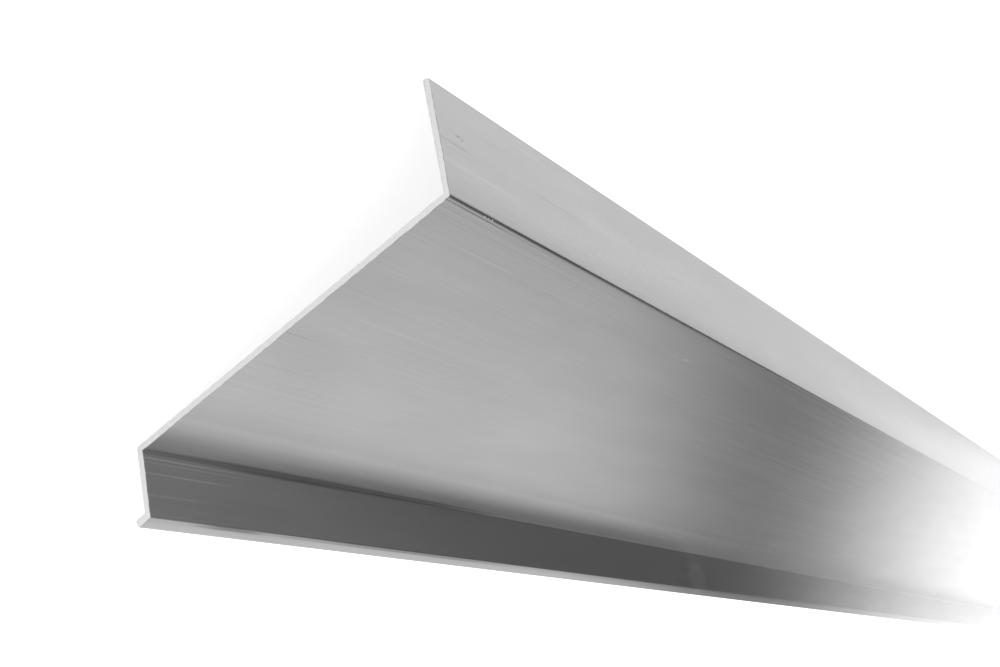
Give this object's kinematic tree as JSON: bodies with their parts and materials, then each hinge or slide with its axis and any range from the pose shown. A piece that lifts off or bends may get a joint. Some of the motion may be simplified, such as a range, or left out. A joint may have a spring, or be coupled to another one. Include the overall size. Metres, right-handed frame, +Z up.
{
  "type": "aluminium extrusion profile",
  "caption": "Bar of thin-walled aluminium extrusion with a drawn-out Z section: an upper flange, a wide sloping web, a lower flange and a short lip at its foot.",
  "frame": {"origin": "centre of the footprint, on the floor that the bar lies on", "axes": "+X along the bar, +Y across it towards the upper flange, +Z up from the floor, on the show side"},
  "size_m": [2, 0.1506, 0.0303],
  "materials": {
    "aluminium": "bare mill finish, satin, with fine die lines along the bar; sawn ends are brighter"
  },
  "bodies": {
    "root": {"profile": "aluminium"}
  },
  "joints": []
}
